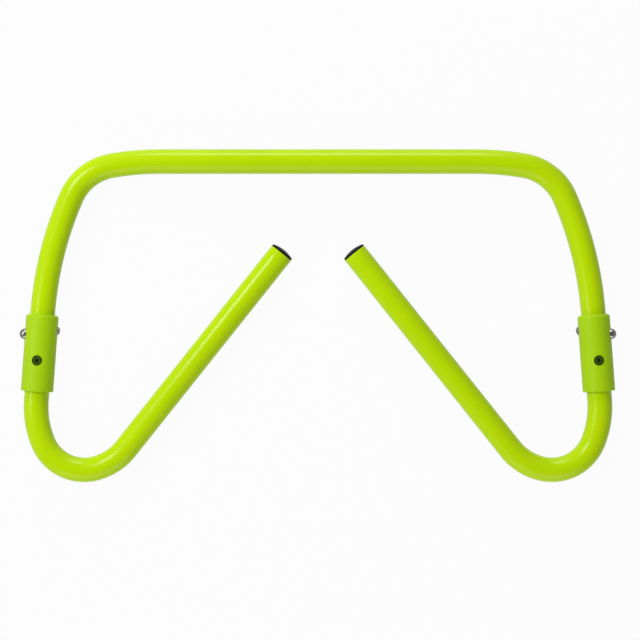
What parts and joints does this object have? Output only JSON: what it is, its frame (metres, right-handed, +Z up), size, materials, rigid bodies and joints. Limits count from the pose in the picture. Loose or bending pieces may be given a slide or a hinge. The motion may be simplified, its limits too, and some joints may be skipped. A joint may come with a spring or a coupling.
{
  "type": "speed hurdle",
  "caption": "Folding speed hurdle of bent tube: a crossbar between posts, with hooked legs that swivel in moulded sleeves locked by snap buttons, shown folded flat",
  "frame": {"origin": "middle of the folded hurdle's plan, on the floor that it lies on", "axes": "+X along the crossbar to its right end, +Y in the frame's plane towards the crossbar, +Z up from the floor"},
  "size_m": [0.536, 0.2996, 0.029],
  "materials": {
    "lime_enamel": "gloss enamel",
    "lime_moulding": "satin moulded",
    "black_plastic": "satin moulded",
    "plated_button": "bright plated",
    "spring_steel": "bare strip",
    "black_screw": "olive black chromate"
  },
  "bodies": {
    "frame": {"frame_tube": "lime_enamel", "left_sleeve": "lime_moulding", "right_sleeve": "lime_moulding", "left_snap_spring": "spring_steel", "right_snap_spring": "spring_steel", "left_retaining_screw": "black_screw", "right_retaining_screw": "black_screw"},
    "left_leg": {"left_leg": "lime_enamel", "left_end_plug": "black_plastic"},
    "right_leg": {"right_leg": "lime_enamel", "right_end_plug": "black_plastic"},
    "left_outer_button": {"left_outer_button": "plated_button"},
    "right_outer_button": {"right_outer_button": "plated_button"},
    "left_inner_button": {"left_inner_button": "plated_button"},
    "right_inner_button": {"right_inner_button": "plated_button"}
  },
  "joints": [
    {"name": "left_leg_swivel", "type": "hinge", "parent": "frame", "child": "left_leg", "pos_m": [-0.24785, 0.00088, 0.01448], "axis": [-0.0732, -0.9973, 0], "range_deg": [0, 90]},
    {"name": "right_leg_swivel", "type": "hinge", "parent": "frame", "child": "right_leg", "pos_m": [0.24785, 0.00088, 0.01448], "axis": [-0.0732, 0.9973, 0], "range_deg": [0, 90]},
    {"name": "left_outer_button_press", "type": "slide", "parent": "frame", "child": "left_outer_button", "axis": [0.979, -0.0719, -0.1908], "range_m": [0, 0.0064], "stiffness_N_per_m": 1000, "springref_m": -0.003, "deforming": ["left_snap_spring"]},
    {"name": "left_inner_button_press", "type": "slide", "parent": "frame", "child": "left_inner_button", "axis": [-0.979, 0.0719, 0.1908], "range_m": [0, 0.0048], "stiffness_N_per_m": 1000, "springref_m": -0.003, "deforming": ["left_snap_spring"]},
    {"name": "right_outer_button_press", "type": "slide", "parent": "frame", "child": "right_outer_button", "axis": [-0.979, -0.0719, -0.1908], "range_m": [0, 0.0064], "stiffness_N_per_m": 1000, "springref_m": -0.003, "deforming": ["right_snap_spring"]},
    {"name": "right_inner_button_press", "type": "slide", "parent": "frame", "child": "right_inner_button", "axis": [0.979, 0.0719, 0.1908], "range_m": [0, 0.0048], "stiffness_N_per_m": 1000, "springref_m": -0.003, "deforming": ["right_snap_spring"]}
  ]
}
